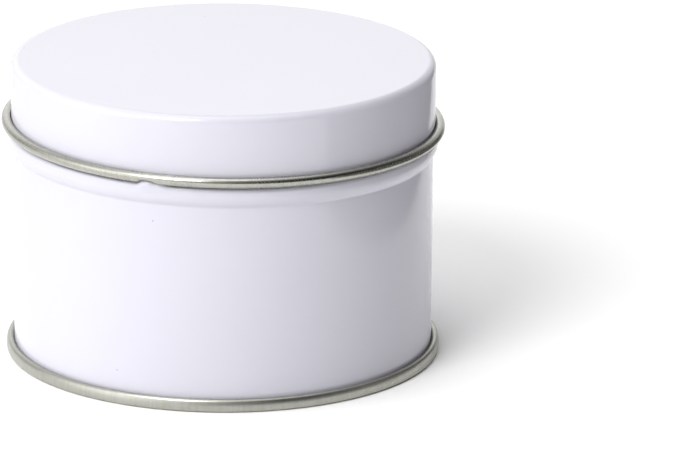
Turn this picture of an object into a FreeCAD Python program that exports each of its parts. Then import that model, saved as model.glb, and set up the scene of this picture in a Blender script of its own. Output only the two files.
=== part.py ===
# Round slip-lid tin of white-enamelled tinplate, shut.
#
# Millimetres, +Z up.  The tin's axis is the Z axis, the surface it stands on
# is z = 0, and the origin is the middle of its foot.
#
# Three pieces, each a solid of its own:
#   lid       sheet-metal cap: flat panel, small round shoulder, straight skirt,
#             and a curl of bare tinplate rolled outwards at the skirt's edge
#   body      the shut cylinder, filled, with a stop bead rolled outwards just
#             under the lid's curl and a plain neck inside the lid
#   base_end  the bottom end: a recessed panel and the double seam, whose ring
#             of bare tinplate is what the tin stands on
#
# As on many pressed tins the skirt isn't trimmed quite square: the curl runs
# a little lower on the +X side than on the -X side, and the bead half as much.

import FreeCAD
import Part
import math
import os

V = FreeCAD.Vector

# ---------------------------------------------------------------- dimensions
tin_height = 58.7          # table to the lid's flat top
sheet = 0.25               # tinplate with its enamel

# lid
lid_d = 83.0               # outside diameter of the skirt
lid_shoulder_r = 1.5       # outside radius between top and skirt
curl_r = 1.05              # outside radius of the rolled curl
curl_z = 45.95             # height of the curl's middle, on the axis
curl_lean_deg = 0.93       # lean of the curl's plane, lower at +X
curl_end_deg = 128.0       # where the rolled edge ends, over the curl's top

# body
body_d = 82.2              # outside diameter of the wall and of the neck
bead_d = 84.2              # outside diameter of the stop bead
bead_top_z = 44.35         # where the bead leaves the neck
bead_round_r = 0.85        # rounding of the bead's upper edge
bead_flat_z = 43.00        # bottom of the bead's widest part
bead_under_r = 3.90        # bulge of its underside, down to the wall
bead_lean_deg = 0.46       # lean of the bead's plane, lower at +X
neck_top_r = 1.45          # rounding of the neck's end, inside the lid's shoulder

# base end
seam_d = 85.3              # outside diameter of the double seam
seam_h = 2.55              # height of the double seam
seam_foot_r = 0.62         # rounding of its lower outer edge
seam_in_r = 0.45           # rounding of its lower inner edge
chuck_d = 81.3             # inside diameter of the seam, under the tin
panel_z = 2.45             # underside of the recessed panel
panel_corner_r = 0.80      # radius between recessed panel and seam
land_z = 1.20              # where the body's wall ends, inside the seam

# ------------------------------------------------------------------- derived
lid_r = lid_d / 2.0
skirt_in = lid_r - sheet
curl_c = skirt_in + curl_r           # radius of the curl's middle circle
body_r = body_d / 2.0
bead_r = bead_d / 2.0
seam_r = seam_d / 2.0
chuck_r = chuck_d / 2.0


# ------------------------------------------------------------------- helpers
def pt(r, z):
    """A point of a half section, in the XZ plane."""
    return V(r, 0.0, z)


def line(a, b):
    return Part.makeLine(pt(*a), pt(*b))


def arc(c, r, a0, a1):
    """Circular arc of a half section about c, from a0 to a1 degrees."""
    am = 0.5 * (a0 + a1)
    p = [pt(c[0] + r * math.cos(math.radians(a)),
            c[1] + r * math.sin(math.radians(a))) for a in (a0, am, a1)]
    return Part.Arc(p[0], p[1], p[2]).toShape()


def revolve(edges):
    """Solid of revolution of a closed half section about the Z axis."""
    face = Part.Face(Part.Wire(edges))
    solid = face.revolve(V(0, 0, 0), V(0, 0, 1), 360.0)
    return solid if solid.ShapeType == "Solid" else solid.Solids[0]


def lean(shape, deg):
    """Lean a ring that circles the axis, so that its +X side comes lower.
    Each point only moves up or down, by its distance across, so what is
    round in plan stays exactly round and still fits the wall."""
    t = math.tan(math.radians(deg))
    return shape.transformGeometry(FreeCAD.Matrix(
        1.0, 0.0, 0.0, 0.0,
        0.0, 1.0, 0.0, 0.0,
        -t, 0.0, 1.0, 0.0,
        0.0, 0.0, 0.0, 1.0))


def one_solid(shape, name):
    s = shape.removeSplitter()
    solids = s.Solids
    if len(solids) != 1 or not solids[0].isValid():
        raise RuntimeError("%s: %d solids, valid %s"
                           % (name, len(solids), s.isValid()))
    return solids[0]


# ----------------------------------------------------------------------- lid
def make_lid():
    top = tin_height
    so = (lid_r - lid_shoulder_r, top - lid_shoulder_r)
    ri = lid_shoulder_r - sheet
    low = curl_z - 2.0
    cap = revolve([
        line((0.0, top), (so[0], top)),
        arc(so, lid_shoulder_r, 90.0, 0.0),
        line((lid_r, so[1]), (lid_r, low)),
        line((lid_r, low), (skirt_in, low)),
        line((skirt_in, low), (skirt_in, so[1])),
        arc(so, ri, 0.0, 90.0),
        line((so[0], top - sheet), (0.0, top - sheet)),
        line((0.0, top - sheet), (0.0, top)),
    ])
    # the skirt ends in the leaning plane of the curl
    trim = Part.makeBox(120.0, 120.0, 20.0, V(-60.0, -60.0, curl_z - 20.0))
    cap = cap.cut(lean(trim, curl_lean_deg))

    # the sheet rolled outwards: its inner face becomes the curl's outside
    c = (curl_c, curl_z)
    e = math.radians(curl_end_deg)
    out_end = (c[0] + curl_r * math.cos(e), c[1] + curl_r * math.sin(e))
    in_r = curl_r - sheet
    in_end = (c[0] + in_r * math.cos(e), c[1] + in_r * math.sin(e))
    curl = revolve([
        arc(c, curl_r, 180.0, 360.0),
        arc(c, curl_r, 0.0, curl_end_deg),
        line(out_end, in_end),
        arc(c, in_r, curl_end_deg, 0.0),
        arc(c, in_r, 360.0, 180.0),
        line((c[0] - in_r, curl_z), (skirt_in, curl_z)),
    ])
    return one_solid(cap.fuse(lean(curl, curl_lean_deg)), "lid")


def make_body():
    top = tin_height - sheet
    r = neck_top_r
    floor = panel_z + sheet
    k = panel_corner_r
    wall_in = chuck_r + sheet
    drum = revolve([
        line((0.0, floor), (wall_in - k, floor)),
        arc((wall_in - k, floor - k), k, 90.0, 0.0),
        line((wall_in, floor - k), (wall_in, land_z)),
        line((wall_in, land_z), (body_r, land_z)),
        line((body_r, land_z), (body_r, top - r)),
        arc((body_r - r, top - r), r, 0.0, 90.0),
        line((body_r - r, top), (0.0, top)),
        line((0.0, top), (0.0, floor)),
    ])
    back = body_r - 1.5
    q = bead_round_r
    u = bead_under_r
    end = math.degrees(math.acos(1.0 - (bead_r - body_r + 0.25) / u))
    foot = bead_flat_z - u * math.sin(math.radians(end))
    bead = revolve([
        line((back, bead_top_z), (bead_r - q, bead_top_z)),
        arc((bead_r - q, bead_top_z - q), q, 90.0, 0.0),
        line((bead_r, bead_top_z - q), (bead_r, bead_flat_z)),
        arc((bead_r - u, bead_flat_z), u, 0.0, -end),
        line((body_r - 0.25, foot), (back, foot)),
        line((back, foot), (back, bead_top_z)),
    ])
    return one_solid(drum.fuse(lean(bead, bead_lean_deg)), "body")


# ------------------------------------------------------------------ base end
def make_base_end():
    k = panel_corner_r
    floor = panel_z + sheet
    wall_in = chuck_r + sheet
    a = 0.5 * (seam_r - body_r)         # the seam's top is a full round, so
    top = (body_r + a, seam_h - a)      # a crevice runs between it and the wall
    f, g = seam_foot_r, seam_in_r
    return one_solid(revolve([
        line((0.0, floor), (wall_in - k, floor)),
        arc((wall_in - k, floor - k), k, 90.0, 0.0),
        line((wall_in, floor - k), (wall_in, land_z)),
        line((wall_in, land_z), (body_r, land_z)),
        line((body_r, land_z), (body_r, top[1])),
        arc(top, a, 180.0, 0.0),
        line((seam_r, top[1]), (seam_r, f)),
        arc((seam_r - f, f), f, 0.0, -90.0),
        line((seam_r - f, 0.0), (chuck_r + g, 0.0)),
        arc((chuck_r + g, g), g, -90.0, -180.0),
        line((chuck_r, g), (chuck_r, panel_z - (k - sheet))),
        arc((chuck_r - (k - sheet), panel_z - (k - sheet)), k - sheet, 0.0, 90.0),
        line((chuck_r - (k - sheet), panel_z), (0.0, panel_z)),
        line((0.0, panel_z), (0.0, floor)),
    ]), "base_end")


# --------------------------------------------------------------------- write
os.makedirs("parts", exist_ok=True)
for name, make in (("lid", make_lid), ("body", make_body),
                   ("base_end", make_base_end)):
    shape = make()
    shape.exportStep(os.path.join("parts", name + ".step"))
    b = shape.BoundBox
    print("%-9s %9.1f mm3  x %.2f..%.2f  y %.2f..%.2f  z %.2f..%.2f"
          % (name, shape.Volume, b.XMin, b.XMax, b.YMin, b.YMax, b.ZMin, b.ZMax))
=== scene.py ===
"""Looks of the round slip-lid tin: white enamel over tinplate, with the curl of
the lid and the bottom seam left bare. Everything is in metres, in the frame of
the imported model; lengths called mm are turned into metres where a mesh is made."""
import bpy
import math
from mathutils import Matrix, Vector


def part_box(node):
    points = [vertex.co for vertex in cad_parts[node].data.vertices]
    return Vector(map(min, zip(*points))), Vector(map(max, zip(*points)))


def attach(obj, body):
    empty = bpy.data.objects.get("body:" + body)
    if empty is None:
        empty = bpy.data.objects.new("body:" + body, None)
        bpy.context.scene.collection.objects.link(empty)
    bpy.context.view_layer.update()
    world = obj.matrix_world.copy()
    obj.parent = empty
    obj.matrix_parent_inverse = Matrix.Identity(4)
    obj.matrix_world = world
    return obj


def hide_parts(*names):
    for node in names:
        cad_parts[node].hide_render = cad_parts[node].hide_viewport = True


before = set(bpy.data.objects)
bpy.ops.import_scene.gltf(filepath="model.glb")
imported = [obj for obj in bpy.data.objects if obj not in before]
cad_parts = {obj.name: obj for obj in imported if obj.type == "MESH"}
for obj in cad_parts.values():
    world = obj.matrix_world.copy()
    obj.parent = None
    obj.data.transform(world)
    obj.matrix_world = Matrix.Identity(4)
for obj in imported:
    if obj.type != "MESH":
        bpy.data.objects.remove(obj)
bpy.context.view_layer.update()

MM = 0.001
INSET = 0.004            # mm kept free inside the CAD box
TURN = 432               # steps round the axis


# ------------------------------------------------------------ sizes, from the frame
def mm_box(node):
    lo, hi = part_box(node)
    return [v / MM for v in lo], [v / MM for v in hi]


lid_lo, lid_hi = mm_box("lid")
body_lo, body_hi = mm_box("body")
base_lo, base_hi = mm_box("base_end")

SHEET = 0.25                                  # tinplate
TOP = lid_hi[2] - INSET                       # lid's flat panel
SHOULDER = 1.5                                # radius at the lid's upper edge
CURL_R = 1.05                                 # outer radius of the rolled edge
CURL_OUT = min(lid_hi[0], lid_hi[1], -lid_lo[0], -lid_lo[1]) - INSET   # widest radius of the curl
CURL_C = CURL_OUT - CURL_R                    # radius of its middle circle
SKIRT = CURL_C - (CURL_R - SHEET)             # outer radius of the skirt
CURL_LEAN = math.tan(math.radians(0.93))
CURL_Z = lid_lo[2] + CURL_R + CURL_LEAN * CURL_OUT * 0.984   # level of the curl at the axis
BEAD_R = min(body_hi[0], body_hi[1], -body_lo[0], -body_lo[1]) - INSET
WALL = BEAD_R - 1.0                           # radius of the body's wall
BEAD_LEAN = math.tan(math.radians(0.46))
SEAM_R = min(base_hi[0], base_hi[1], -base_lo[0], -base_lo[1]) - INSET
SEAM_H = 2.55
FOOT = base_lo[2] + INSET


# ------------------------------------------------------------------- mesh tools
def arc(c, r, a0, a1, n):
    """Points of an arc about c from a0 to a1 degrees, both ends included."""
    out = []
    for i in range(n + 1):
        a = math.radians(a0 + (a1 - a0) * i / n)
        out.append((c[0] + r * math.cos(a), c[1] + r * math.sin(a)))
    return out


def run(p, q, step, ends=0.06):
    """Points of a straight run, both ends left out, with one close to each end so
    that smooth shading doesn't spill over from the bend next to it."""
    d = math.hypot(q[0] - p[0], q[1] - p[1])
    ts = [ends / d] if d > 3 * ends else []
    n = max(1, int(round(d / step)))
    ts += [i / n for i in range(1, n)]
    ts += [1 - ends / d] if d > 3 * ends else []
    return [(p[0] + (q[0] - p[0]) * t, p[1] + (q[1] - p[1]) * t) for t in sorted(ts)]


def lathe(name, parts, shape, materials, turn=TURN):
    """Turns a half section about the axis. parts is a list of (points, slot, island);
    the section runs on from part to part. shape(r, z, angle) gives the point's place.
    island is ("disc", cx, cy, scale) or ("strip", rows, x0, y0, x1, row height)."""
    ring, seg = [], []                       # points; (slot, island, s0, s1) after each
    for pts, slot, island in parts:
        length = [0.0]
        for a, b in zip(pts[:-1], pts[1:]):
            length.append(length[-1] + math.hypot(b[0] - a[0], b[1] - a[1]))
        for i, p in enumerate(pts):
            if ring and i == 0:
                if math.hypot(p[0] - ring[-1][0], p[1] - ring[-1][1]) > 1e-6:
                    raise ValueError("%s: the section has a gap at %s" % (name, p))
                continue
            ring.append(p)
            if i:
                seg.append((slot, island, length[i - 1] / length[-1], length[i] / length[-1]))
    start, verts = [], []
    for r, z in ring:
        start.append(len(verts))
        if r < 1e-9:
            verts.append(shape(0.0, z, 0.0))
        else:
            verts += [shape(r, z, 2 * math.pi * j / turn) for j in range(turn)]
    closed = math.hypot(ring[0][0] - ring[-1][0], ring[0][1] - ring[-1][1]) < 1e-6
    faces, slots, uvs = [], [], []

    def place(k, j, island, s):
        if island[0] == "disc":
            x, y, _ = verts[start[k] + (j % turn if ring[k][0] > 1e-9 else 0)]
            return (island[1] + x * island[3], island[2] + y * island[3])
        return None

    def strip(j, edge, island, s):
        _, rows, x0, y0, x1, h = island
        row = j * rows // turn
        u = x0 + ((j + edge) * rows / turn - row) * (x1 - x0)
        return (u, y0 + row * (h + 0.008) + s * h)

    last = len(ring) - 1
    for k, (slot, island, s0, s1) in enumerate(seg):
        a, b = start[k], start[k + 1]
        if closed and k + 1 == last:
            b = start[0]
        pa, pb = ring[k][0] < 1e-9, ring[k + 1][0] < 1e-9
        for j in range(turn):
            j1 = (j + 1) % turn
            if pa:
                f, at = (a, b + j, b + j1), ((k, j, 0, s0), (k + 1, j, 0, s1), (k + 1, j, 1, s1))
            elif pb:
                f, at = (a + j, b, a + j1), ((k, j, 0, s0), (k + 1, j, 0, s1), (k, j, 1, s0))
            else:
                f = (a + j, b + j, b + j1, a + j1)
                at = ((k, j, 0, s0), (k + 1, j, 0, s1), (k + 1, j, 1, s1), (k, j, 1, s0))
            faces.append(f)
            slots.append(slot)
            for kk, jj, edge, s in at:
                if island[0] == "disc":
                    uvs += place(kk, jj + edge, island, s)
                else:
                    uvs += strip(jj, edge, island, s)
    if closed:                               # the last ring repeats the first
        drop = start[last]
        verts = verts[:drop]
    mesh = bpy.data.meshes.new(name)
    mesh.from_pydata([(x * MM, y * MM, z * MM) for x, y, z in verts], [], faces)
    mesh.polygons.foreach_set("material_index", slots)
    mesh.polygons.foreach_set("use_smooth", [True] * len(faces))
    mesh.uv_layers.new(name="OFBake").data.foreach_set("uv", uvs)
    mesh.update()
    obj = bpy.data.objects.new(name, mesh)
    bpy.context.scene.collection.objects.link(obj)
    for m in materials:
        mesh.materials.append(m)
    return obj


def smooth(t):
    t = min(1.0, max(0.0, t))
    return t * t * (3 - 2 * t)


# -------------------------------------------------------------------- materials
class Nodes:
    """Short calls for making a node tree."""

    def __init__(self, tree):
        self.tree = tree
        tree.nodes.clear()

    def add(self, kind, **inputs):
        n = self.tree.nodes.new(kind)
        for key, value in list(inputs.items()):
            if hasattr(n, key) and key not in n.inputs:
                setattr(n, key, value)
                del inputs[key]
        for key, value in inputs.items():
            self.put(n, key.replace("_", " "), value)
        return n

    def put(self, n, key, value):
        socket = n.inputs[int(key)] if str(key).isdigit() else n.inputs[key]
        if isinstance(value, bpy.types.NodeSocket):
            self.tree.links.new(value, socket)
        else:
            socket.default_value = value

    def math(self, op, a, b=None, c=None, clamp=False):
        n = self.tree.nodes.new("ShaderNodeMath")
        n.operation = op
        n.use_clamp = clamp
        for i, v in enumerate((a, b, c)):
            if v is not None:
                self.put(n, i, v)
        return n.outputs[0]

    def remap(self, x, a0, a1, b0, b1, smoothstep=False):
        n = self.tree.nodes.new("ShaderNodeMapRange")
        n.interpolation_type = "SMOOTHSTEP" if smoothstep else "LINEAR"
        n.clamp = True
        for key, v in (("Value", x), ("From Min", a0), ("From Max", a1), ("To Min", b0), ("To Max", b1)):
            self.put(n, key, v)
        return n.outputs["Result"]

    def mix(self, fac, a, b, kind="MIX"):
        n = self.tree.nodes.new("ShaderNodeMix")
        n.data_type = "RGBA"
        n.blend_type = kind
        n.clamp_factor = True
        self.put(n, 0, fac)
        self.put(n, 6, a)
        self.put(n, 7, b)
        return n.outputs[2]

    def noise(self, vector, scale, detail=2.0, rough=0.5, w=None, distortion=0.0):
        n = self.tree.nodes.new("ShaderNodeTexNoise")
        n.noise_dimensions = "4D" if w is not None else "3D"
        self.put(n, "Vector", vector)
        self.put(n, "Scale", scale)
        self.put(n, "Detail", detail)
        self.put(n, "Roughness", rough)
        self.put(n, "Distortion", distortion)
        if w is not None:
            self.put(n, "W", w)
        return n.outputs["Fac"]

    def scaled(self, vector, x, y, z):
        n = self.tree.nodes.new("ShaderNodeVectorMath")
        n.operation = "MULTIPLY"
        self.put(n, 0, vector)
        self.put(n, 1, (x, y, z))
        return n.outputs[0]

    def bump(self, height, distance, strength=1.0, normal=None):
        n = self.tree.nodes.new("ShaderNodeBump")
        self.put(n, "Strength", strength)
        self.put(n, "Distance", distance)
        self.put(n, "Height", height)
        if normal is not None:
            self.put(n, "Normal", normal)
        return n.outputs["Normal"]


def rgb(r, g, b):
    return (r, g, b, 1.0)


def enamel():
    """Stoved white enamel: a cool, faintly lilac white, levelled almost flat, with
    a trace of orange peel, uneven gloss from handling and a few tiny inclusions."""
    m = bpy.data.materials.new("white_enamel")
    m.use_nodes = True
    t = Nodes(m.node_tree)
    at = t.add("ShaderNodeTexCoord").outputs["Object"]
    cloud = t.noise(at, 28.0, 3.0, 0.55)
    tone = t.mix(t.remap(cloud, 0.32, 0.68, 0.0, 1.0), rgb(0.616, 0.610, 0.673), rgb(0.630, 0.623, 0.687))
    mottle = t.noise(at, 330.0, 2.0, 0.5)
    tone = t.mix(t.remap(mottle, 0.3, 0.7, 0.0, 0.4), tone, rgb(0.619, 0.615, 0.681))
    # specks: spheres in a 3-D cell pattern, of which the skin cuts a few
    cell = t.tree.nodes.new("ShaderNodeTexVoronoi")
    t.put(cell, "Vector", at)
    t.put(cell, "Scale", 150.0)
    t.put(cell, "Randomness", 1.0)
    speck = t.remap(cell.outputs["Distance"], 0.018, 0.030, 1.0, 0.0, True)
    tone = t.mix(t.math("MULTIPLY", speck, 0.55), tone, rgb(0.26, 0.23, 0.20))
    gloss = t.noise(at, 30.0, 2.0, 0.5)
    wiped = t.noise(at, 240.0, 2.0, 0.5)
    rough = t.math("ADD", t.remap(gloss, 0.3, 0.7, 0.115, 0.135), t.remap(wiped, 0.3, 0.7, 0.0, 0.012))
    peel = t.noise(at, 620.0, 1.0, 0.5)
    sway = t.noise(at, 45.0, 1.0, 0.5)
    n1 = t.bump(sway, 0.00004)
    n2 = t.bump(peel, 0.0000025, normal=n1)
    n3 = t.bump(speck, 0.00002, normal=n2)
    s = t.add("ShaderNodeBsdfPrincipled")
    t.put(s, "Base Color", tone)
    t.put(s, "Roughness", rough)
    t.put(s, "Normal", n3)
    t.put(s, "IOR", 1.5)
    o = t.add("ShaderNodeOutputMaterial")
    t.put(o, "Surface", s.outputs[0])
    return m


def tinplate(name, straight, dull):
    """Bare tinplate: warm grey, with drawing lines round the rim, or straight
    rolling lines on the flat bottom, and a dull bloom here and there."""
    m = bpy.data.materials.new(name)
    m.use_nodes = True
    t = Nodes(m.node_tree)
    at = t.add("ShaderNodeTexCoord").outputs["Object"]
    xyz = t.tree.nodes.new("ShaderNodeSeparateXYZ")
    t.put(xyz, 0, at)
    x, y, z = xyz.outputs
    r = t.math("SQRT", t.math("ADD", t.math("MULTIPLY", x, x), t.math("MULTIPLY", y, y)))
    if straight:
        fine = t.noise(t.scaled(at, 26.0, 2400.0, 26.0), 1.0, 2.0, 0.6)
        broad = t.noise(t.scaled(at, 9.0, 420.0, 9.0), 1.0, 3.0, 0.6)
    else:
        fine = t.noise(t.scaled(at, 38.0, 38.0, 6500.0), 1.0, 2.0, 0.6, w=t.math("MULTIPLY", r, 6500.0))
        broad = t.noise(t.scaled(at, 60.0, 60.0, 900.0), 1.0, 3.0, 0.6, w=t.math("MULTIPLY", r, 900.0))
    bloom = t.noise(at, 95.0, 5.0, 0.65, distortion=0.5)
    ribs = t.noise(t.scaled(at, 1500.0, 1500.0, 140.0), 1.0, 2.0, 0.5)
    grain = t.noise(at, 2600.0, 3.0, 0.7)
    tone = t.mix(t.remap(bloom, 0.3, 0.72, 0.0, 1.0), rgb(0.467, 0.467, 0.421), rgb(0.418, 0.415, 0.375))
    tone = t.mix(t.remap(broad, 0.35, 0.75, 0.0, 0.35), tone, rgb(0.368, 0.368, 0.333))
    tone = t.mix(t.remap(fine, 0.55, 0.8, 0.0, 0.35), tone, rgb(0.526, 0.526, 0.487))
    rough = t.math("ADD", t.remap(bloom, 0.3, 0.75, 0.13, 0.19), t.remap(broad, 0.3, 0.7, -0.01, 0.03))
    rough = t.math("ADD", rough, t.remap(grain, 0.35, 0.8, dull, dull + 0.04))
    tone = t.mix(t.remap(ribs, 0.35, 0.7, 0.0, 0.30 if not straight else 0.0), tone, rgb(0.576, 0.576, 0.537))
    n1 = t.bump(fine, 0.0000028)
    n2 = t.bump(broad, 0.0000075, normal=n1)
    n3 = t.bump(grain, 0.0000012, normal=n2)
    s = t.add("ShaderNodeBsdfPrincipled")
    t.put(s, "Metallic", 1.0)
    t.put(s, "Base Color", tone)
    t.put(s, "Roughness", rough)
    t.put(s, "Normal", n3)
    o = t.add("ShaderNodeOutputMaterial")
    t.put(o, "Surface", s.outputs[0])
    return m


ENAMEL = enamel()
RIM = tinplate("bare_tinplate_curl", False, 0.08)
SEAM = tinplate("bare_tinplate_seam", False, 0.18)
PLATE = tinplate("bare_tinplate_flat", True, 0.05)


# -------------------------------------------------------------------------- lid
def lid_section():
    so = (SKIRT - SHOULDER, TOP - SHOULDER)
    ci = CURL_R - SHEET
    c = (CURL_C, CURL_Z)
    end = 128.0
    top = [(0.0, TOP)] + run((0.0, TOP), (so[0], TOP), 2.5) + [(so[0], TOP)]
    shoulder = arc(so, SHOULDER, 90.0, 0.0, 18)
    skirt = [(SKIRT, so[1])] + run((SKIRT, so[1]), (SKIRT, CURL_Z), 0.45) + [(SKIRT, CURL_Z)]
    inner = arc(c, ci, 180.0, 360.0, 30)[:-1] + arc(c, ci, 0.0, end, 22)
    # the cut edge of the sheet, slightly rounded
    a = math.radians(end)
    mid = 0.5 * (ci + CURL_R)
    lip = [inner[-1]]
    for k in range(1, 6):
        b = math.radians(-90.0 + 180.0 * k / 6)
        rr = mid + 0.5 * SHEET * math.sin(b)
        push = 0.045 * math.cos(b)
        lip.append((c[0] + rr * math.cos(a) - push * math.sin(a),
                    c[1] + rr * math.sin(a) + push * math.cos(a)))
    outer = arc(c, CURL_R, end, 0.0, 30)[:-1] + arc(c, CURL_R, 360.0, 180.0, 40)
    lip.append(outer[0])
    back = [outer[-1]] + run(outer[-1], (SKIRT - SHEET, so[1]), 1.2) + [(SKIRT - SHEET, so[1])]
    under = arc(so, SHOULDER - SHEET, 0.0, 90.0, 10)
    roof = [under[-1]] + run(under[-1], (0.0, TOP - SHEET), 6.0) + [(0.0, TOP - SHEET)]
    disc = ("disc", 0.315, 0.315, 0.0074)
    return [
        (top, 0, disc),
        (shoulder + skirt[1:], 0, ("strip", 2, 0.01, 0.640, 0.99, 0.108)),
        (inner, 0, ("strip", 4, 0.66, 0.010, 0.99, 0.022)),
        (lip + outer[1:], 1, ("strip", 2, 0.01, 0.880, 0.99, 0.050)),
        (back, 1, ("strip", 4, 0.66, 0.135, 0.99, 0.040)),
        (under + roof[1:], 2, ("disc", 0.825, 0.490, 0.0036)),
    ]


NICK_AZ, NICK_DEEP = math.radians(-110.5), 0.50


def nick(angle, left, right, power=2):
    """1 in the middle of the nick, 0 outside it; it runs out longer to the right."""
    off = ((angle - NICK_AZ + math.pi) % (2 * math.pi) - math.pi) * CURL_OUT
    d = abs(off) / (right if off > 0 else left)
    return (1.0 - d ** power) ** 1.5 if d < 1.0 else 0.0


def lid_shape(r, z, angle):
    """Below the shoulder the lid's lower edge leans a little, and its curl has one
    small nick, pressed up into its underside."""
    x, y = r * math.cos(angle), r * math.sin(angle)
    lean = smooth((TOP - SHOULDER - z) / (TOP - SHOULDER - CURL_Z - 1.2))
    if r > SKIRT + 0.02 or z < CURL_Z + 0.01:
        lean = 1.0
    if r > SKIRT - 0.5 and z < CURL_Z + 0.1:
        z += NICK_DEEP * nick(angle, 1.7, 2.6, 3) * smooth((CURL_Z + 0.1 - z) / 0.95)
    return (x, y, z - lean * CURL_LEAN * x)


lid = lathe("lid_shell", lid_section(), lid_shape, [ENAMEL, RIM, PLATE])
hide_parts("lid")
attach(lid, "root")


# ------------------------------------------------------------------------- body
def body_section():
    gap = 0.02
    neck = WALL - gap
    top = TOP - SHEET - gap
    rt = 1.45
    bead_top, q = 44.35, 0.85
    flat_z, belly_r, corner_r = 43.0, 3.2, 0.90
    land = body_lo[2] + gap
    head = [(0.0, top)] + run((0.0, top), (neck - rt, top), 8.0) + [(neck - rt, top)]
    bend = arc((neck - rt, top - rt), rt, 90.0, 0.0, 8)
    throat = [bend[-1]] + run(bend[-1], (neck, bead_top + 0.12), 1.5) + [(neck, bead_top + 0.12)]
    root = arc((neck + 0.12, bead_top + 0.12), 0.12, 180.0, 270.0, 4)
    crown = [root[-1], (BEAD_R - q, bead_top)] + arc((BEAD_R - q, bead_top - q), q, 90.0, 0.0, 16)[1:]
    # its underside bulges in one arc down to the wall, and a small fillet ends it
    bow = math.acos(1.0 - (BEAD_R - WALL) / (belly_r + corner_r))
    b1 = arc((BEAD_R - belly_r, flat_z), belly_r, 0.0, -math.degrees(bow), 16)
    cc = (b1[-1][0] + corner_r * math.cos(bow), b1[-1][1] - corner_r * math.sin(bow))
    b2 = arc(cc, corner_r, 180.0 - math.degrees(bow), 180.0, 6)
    shift = WALL - b2[-1][0]
    b2 = [b1[-1]] + [(x + shift * k / 6.0, y) for k, (x, y) in enumerate(b2) if k]
    belly = [crown[-1]] + run(crown[-1], b1[0], 0.4) + b1
    flank = b2
    wall = [b2[-1]] + run(b2[-1], (WALL, land), 0.8) + [(WALL, land)]
    seat = [(WALL, land), (neck - 0.2, land), (neck - 0.2, 1.9), (neck - 1.0, 2.72)]
    floor = [seat[-1]] + run(seat[-1], (0.0, 2.72), 8.0) + [(0.0, 2.72)]
    hidden = ("strip", 4, 0.62, 0.70, 0.99, 0.030)
    return [
        (head, 1, ("disc", 0.16, 0.84, 0.0034)),
        (bend + throat[1:] + root[1:], 1, hidden),
        (crown + belly[1:] + flank[1:] + wall[1:], 0, ("strip", 2, 0.01, 0.01, 0.99, 0.325)),
        (seat, 1, ("strip", 4, 0.62, 0.86, 0.99, 0.015)),
        (floor, 1, ("disc", 0.46, 0.84, 0.0034)),
    ]


def body_shape(r, z, angle):
    """The bead leans half as much as the curl, and has a small blister under the nick.
    Its crown, behind the curl's lower edge, comes up close to the curl all round."""
    if 42.9 < z < 44.6 and r > WALL - 0.05:
        z += 0.55 * (0.55 - 0.36 * math.cos(angle)) * smooth((z - 43.0) / 1.2)
    if 42.9 < z < 45.1 and r > WALL - 0.05:
        blister = max(nick(angle, 1.9, 2.3, 3), 0.58 * nick(angle, 1.9, 5.0, 4))
        rise = smooth((z - 42.9) / 0.8) * smooth((r - WALL + 0.05) / 0.3)
        r += 0.52 * blister * rise
        z += 0.86 * blister * rise
    x, y = r * math.cos(angle), r * math.sin(angle)
    lean = smooth((z - 36.0) / 4.0) * (1.0 - smooth((z - 44.5) / 4.0))
    return (x, y, z - lean * BEAD_LEAN * x)


body = lathe("body_shell", body_section(), body_shape, [ENAMEL, PLATE])
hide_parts("body")
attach(body, "root")


# --------------------------------------------------------------------- base end
def base_section():
    # outer outline: a round crest, a barrelled face and a round foot
    a, face_r, up, down = 0.70, 2.85, 22.0, 12.0
    fc = (SEAM_R - face_r, 0.0)
    z1 = SEAM_H - INSET - a + a * math.sin(math.radians(up))      # crest to face
    fc = (fc[0], z1 - face_r * math.sin(math.radians(up)))
    crest = (fc[0] + (face_r - a) * math.cos(math.radians(up)), SEAM_H - INSET - a)
    z2 = fc[1] - face_r * math.sin(math.radians(down))            # face to foot
    f = (z2 - FOOT) / (1.0 - math.sin(math.radians(down)))
    toe_c = (fc[0] + (face_r - f) * math.cos(math.radians(down)), FOOT + f)
    g, k = 0.45, 0.80
    chuck = WALL - 0.45
    panel = 2.45
    z0 = base_hi[2] - INSET - 0.01
    inside = WALL + 0.01
    cup = [(0.0, z0)] + run((0.0, z0), (chuck - 0.75, z0), 8.0) + [(chuck - 0.75, z0)]
    dip = [cup[-1], (chuck - 0.2, 2.4), (chuck + 0.02, 1.9), (chuck + 0.02, 1.15), (inside, 1.15),
           (inside, crest[1])]
    bend = crest[0] - inside
    crown = [(inside, crest[1])] + [(crest[0] + bend * math.cos(math.radians(180 - 90 * i / 14)),
                                     crest[1] + a * math.sin(math.radians(180 - 90 * i / 14)))
                                    for i in range(1, 15)] + arc(crest, a, 90.0, up, 12)[1:]
    face = arc(fc, face_r, up, -down, 12)[1:]
    toe = arc(toe_c, f, -down, -90.0, 12)[1:]
    sole = run(toe[-1], (chuck + g, FOOT), 0.3) + arc((chuck + g, FOOT + g), g, -90.0, -180.0, 8)
    well = [sole[-1]] + run(sole[-1], (chuck, panel - k + SHEET), 0.4) \
        + arc((chuck - k + SHEET, panel - k + SHEET), k - SHEET, 0.0, 90.0, 8)
    plate = [well[-1]] + run(well[-1], (0.0, panel), 4.0) + [(0.0, panel)]
    return [
        (cup, 1, ("disc", 0.82, 0.165, 0.0036)),
        (dip, 0, ("strip", 4, 0.66, 0.340, 0.99, 0.020)),
        (crown + face + toe, 0, ("strip", 2, 0.01, 0.640, 0.99, 0.085)),
        ([toe[-1]] + sole + well[1:], 0, ("strip", 2, 0.01, 0.835, 0.99, 0.060)),
        (plate, 1, ("disc", 0.315, 0.315, 0.0074)),
    ]


def base_shape(r, z, angle):
    return (r * math.cos(angle), r * math.sin(angle), z)


base = lathe("base_seam", base_section(), base_shape, [SEAM, PLATE])
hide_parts("base_end")
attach(base, "root")


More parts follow.
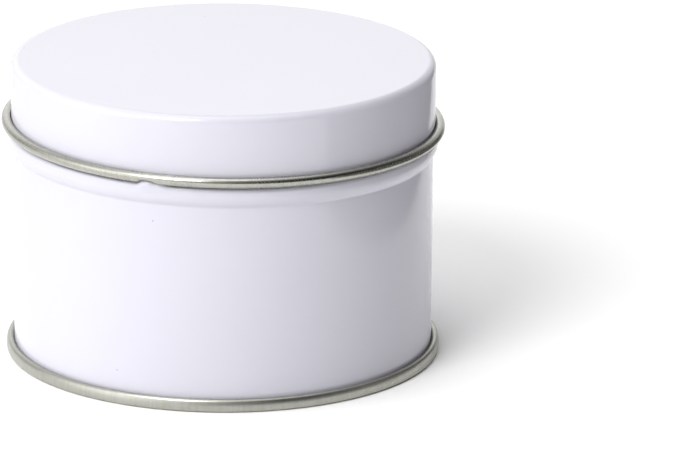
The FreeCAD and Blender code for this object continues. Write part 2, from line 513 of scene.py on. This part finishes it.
# ------------------------------------------------------------------------ floor
def floor_disc(radius, z, rings=24, turn=96):
    verts, faces = [(0.0, 0.0, z)], []
    for i in range(1, rings + 1):
        rr = radius * (i / rings) ** 2
        verts += [(rr * math.cos(2 * math.pi * j / turn), rr * math.sin(2 * math.pi * j / turn), z)
                  for j in range(turn)]
    for j in range(turn):
        faces.append((0, 1 + j, 1 + (j + 1) % turn))
    for i in range(rings - 1):
        for j in range(turn):
            a, b = 1 + i * turn, 1 + (i + 1) * turn
            faces.append((a + j, b + j, b + (j + 1) % turn, a + (j + 1) % turn))
    mesh = bpy.data.meshes.new("studio_floor")
    mesh.from_pydata(verts, [], faces)
    mesh.update()
    obj = bpy.data.objects.new("studio_floor", mesh)
    bpy.context.scene.collection.objects.link(obj)
    m = bpy.data.materials.new("pale_paper")
    m.use_nodes = True
    t = Nodes(m.node_tree)
    at = t.add("ShaderNodeTexCoord").outputs["Object"]
    tone = t.mix(t.remap(t.noise(at, 9.0, 3.0), 0.3, 0.7, 0.0, 1.0), rgb(0.970, 0.970, 0.970), rgb(0.980, 0.980, 0.980))
    s = t.add("ShaderNodeBsdfPrincipled")
    t.put(s, "Base Color", tone)
    t.put(s, "Roughness", 0.95)
    t.put(s, "Specular IOR Level", 0.0)
    o = t.add("ShaderNodeOutputMaterial")
    t.put(o, "Surface", s.outputs[0])
    mesh.materials.append(m)
    return obj


floor_disc(9.0, FOOT * MM - 0.00002)


def flag(x, y0, y1, height):
    """A dark card on the shade side, as a photographer sets one: it shows only as a
    reflection in the tin, and leaves the floor's light as it is."""
    n = 6
    verts = [(x, y0 + (y1 - y0) * i / n, 0.002 + height * j / n) for j in range(n + 1) for i in range(n + 1)]
    faces = [(j * (n + 1) + i, j * (n + 1) + i + 1, (j + 1) * (n + 1) + i + 1, (j + 1) * (n + 1) + i)
             for j in range(n) for i in range(n)]
    mesh = bpy.data.meshes.new("black_flag")
    mesh.from_pydata(verts, [], faces)
    obj = bpy.data.objects.new("black_flag", mesh)
    bpy.context.scene.collection.objects.link(obj)
    m = bpy.data.materials.new("black_card")
    m.use_nodes = True
    t = Nodes(m.node_tree)
    s = t.add("ShaderNodeBsdfDiffuse")
    t.put(s, "Color", rgb(0.15, 0.15, 0.15))
    o = t.add("ShaderNodeOutputMaterial")
    t.put(o, "Surface", s.outputs[0])
    mesh.materials.append(m)
    obj.visible_camera = False
    obj.visible_shadow = False
    obj.visible_diffuse = False
    return obj


flag(0.120, -0.10, 0.16, 0.07)


# ----------------------------------------------------------------------- lights
def direction(az, el):
    """Unit vector; azimuth 0 is towards the camera's side (-Y), 90 towards +X."""
    a, e = math.radians(az), math.radians(el)
    return Vector((math.sin(a) * math.cos(e), -math.cos(a) * math.cos(e), math.sin(e)))


# soft light of the room: azimuth, elevation, width in degrees, strength
LOBES = [
    (-180, 6, 20, 0.99),
    (-150, 6, 20, 0.46),
    (-120, 6, 20, 0.25),
    (-90, 6, 20, 0.98),
    (-60, 6, 20, 1.68),
    (-30, 6, 20, 0.84),
    (0, 6, 20, 0.22),
    (120, 6, 20, 0.06),
    (150, 6, 20, 0.45),
    (-160, 32, 24, 0.94),
    (-115, 32, 24, 0.56),
    (-70, 32, 24, 1.28),
    (-25, 32, 24, 0.34),
    (155, 32, 24, 0.30),
    (-150, 60, 24, 0.26),
    (-30, 60, 24, 0.20),
    (30, 60, 24, 0.14),
    (90, 60, 24, 0.12),
    (150, 60, 24, 0.30),
    (-60, 88, 24, 2.30),
]
LOW = 0.9                # plain pale tone below the horizon, seen only from under the floor
KEY = (-31.0, 43.0, 25.0, 10.6)   # azimuth, elevation, angular size, radiance


def make_world():
    world = bpy.data.worlds.new("soft_room")
    bpy.context.scene.world = world
    world.use_nodes = True
    t = Nodes(world.node_tree)
    way = t.add("ShaderNodeTexCoord").outputs["Generated"]
    total = None
    for az, el, width, strength in LOBES:
        dot = t.tree.nodes.new("ShaderNodeVectorMath")
        dot.operation = "DOT_PRODUCT"
        t.put(dot, 0, way)
        t.put(dot, 1, direction(az, el))
        k = 1.0 / (1.0 - math.cos(math.radians(width)))
        lobe = t.math("EXPONENT", t.math("MULTIPLY", t.math("SUBTRACT", dot.outputs["Value"], 1.0), k))
        lobe = t.math("MULTIPLY", lobe, strength)
        lobe.node.label = "lobe"
        total = lobe if total is None else t.math("ADD", total, lobe)
    xyz = t.tree.nodes.new("ShaderNodeSeparateXYZ")
    t.put(xyz, 0, way)
    up = t.remap(xyz.outputs[2], -0.06, -0.01, 0.0, 1.0)
    low = t.math("MULTIPLY", t.math("SUBTRACT", 1.0, up), LOW)
    value = t.math("ADD", t.math("MULTIPLY", total, up), low)
    b = t.add("ShaderNodeBackground")
    t.put(b, "Color", rgb(1, 1, 1))
    t.put(b, "Strength", value)
    o = t.add("ShaderNodeOutputWorld")
    t.put(o, "Surface", b.outputs[0])


def make_key(az, el, size, radiance):
    far = 0.8
    lamp = bpy.data.lights.new("key_softbox", "AREA")
    lamp.shape = "DISK"
    lamp.size = 2 * far * math.tan(math.radians(size / 2))
    lamp.energy = radiance * math.pi * math.pi * (lamp.size / 2) ** 2
    obj = bpy.data.objects.new("key_softbox", lamp)
    way = direction(az, el)
    obj.location = way * far + Vector((0, 0, 0.03))
    obj.rotation_mode = "QUATERNION"
    obj.rotation_quaternion = (-way).to_track_quat("-Z", "Y")
    obj.visible_camera = False
    bpy.context.scene.collection.objects.link(obj)


make_world()
make_key(*KEY)


# ----------------------------------------------------------------------- camera
cam = bpy.data.cameras.new("camera")
cam.sensor_fit = "HORIZONTAL"
cam.sensor_width = 36.0
cam.lens = 6917.10096 * 36.0 / 680.0
cam.clip_start, cam.clip_end = 0.05, 40.0
camera = bpy.data.objects.new("camera", cam)
bpy.context.scene.collection.objects.link(camera)
yaw, pitch, roll = 0.01768, 0.30026, 0.00798
ahead = Vector((math.sin(yaw) * math.cos(pitch), math.cos(yaw) * math.cos(pitch), -math.sin(pitch)))
right = Vector((math.cos(yaw), -math.sin(yaw), 0.0))
upward = right.cross(ahead)
r2 = math.cos(roll) * right + math.sin(roll) * upward
u2 = -math.sin(roll) * right + math.cos(roll) * upward
turned = Matrix((r2, u2, -ahead)).transposed().to_4x4()
camera.matrix_world = Matrix.Translation((0.0, -1.29844504, 0.42570006)) @ turned
bpy.context.scene.camera = camera

view = bpy.context.scene.view_settings
view.view_transform = "Standard"
view.look = "None"
view.exposure = 0.0
view.gamma = 0.9
cycles = bpy.context.scene.cycles
cycles.max_bounces = 14
cycles.diffuse_bounces = 8
cycles.glossy_bounces = 6
cycles.use_denoising = True
